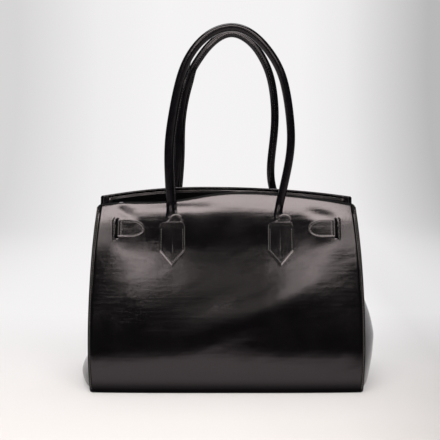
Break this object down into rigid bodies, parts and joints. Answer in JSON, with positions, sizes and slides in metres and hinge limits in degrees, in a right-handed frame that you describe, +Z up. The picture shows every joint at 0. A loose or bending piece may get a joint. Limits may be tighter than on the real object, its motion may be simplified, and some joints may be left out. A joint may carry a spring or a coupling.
{
  "type": "tote bag",
  "caption": "Structured black leather shoulder tote with leaning panels, folding gussets, rolled handles on pointed tabs and slotted side straps.",
  "frame": {"origin": "on the floor, under the middle of the base", "axes": "+Z up, +X to the right as seen from the front, +Y from the front panel to the back panel"},
  "size_m": [0.3962, 0.16, 0.4612],
  "materials": {
    "panel_leather": "smooth semi-gloss black",
    "trim_leather": "smooth semi-gloss black with stitched border",
    "handle_leather": "rolled semi-gloss black",
    "lining_cloth": "matt woven black",
    "stiff_board": "matt fibre board",
    "core_cord": "cotton cord"
  },
  "bodies": {
    "body": {"front_panel": "panel_leather", "back_panel": "panel_leather", "left_gusset": "panel_leather", "right_gusset": "panel_leather", "base_panel": "panel_leather", "base_board": "stiff_board", "base_lining": "lining_cloth", "front_lining": "lining_cloth", "back_lining": "lining_cloth", "left_gusset_lining": "lining_cloth", "right_gusset_lining": "lining_cloth", "front_rim_facing": "trim_leather", "back_rim_facing": "trim_leather", "front_left_handle_tab": "trim_leather", "front_right_handle_tab": "trim_leather", "back_left_handle_tab": "trim_leather", "back_right_handle_tab": "trim_leather", "left_side_strap": "trim_leather", "right_side_strap": "trim_leather"},
    "front_handle": {"front_handle_cover": "handle_leather", "front_handle_core": "core_cord"},
    "rear_handle": {"rear_handle_cover": "handle_leather", "rear_handle_core": "core_cord"}
  },
  "joints": [
    {"name": "front_handle_swing", "type": "hinge", "parent": "body", "child": "front_handle", "pos_m": [0, -0.02923, 0.22388], "axis": [1, 0, 0], "range_deg": [-5, 130]},
    {"name": "rear_handle_swing", "type": "hinge", "parent": "body", "child": "rear_handle", "pos_m": [0, 0.02923, 0.22388], "axis": [1, 0, 0], "range_deg": [-130, 5]}
  ]
}
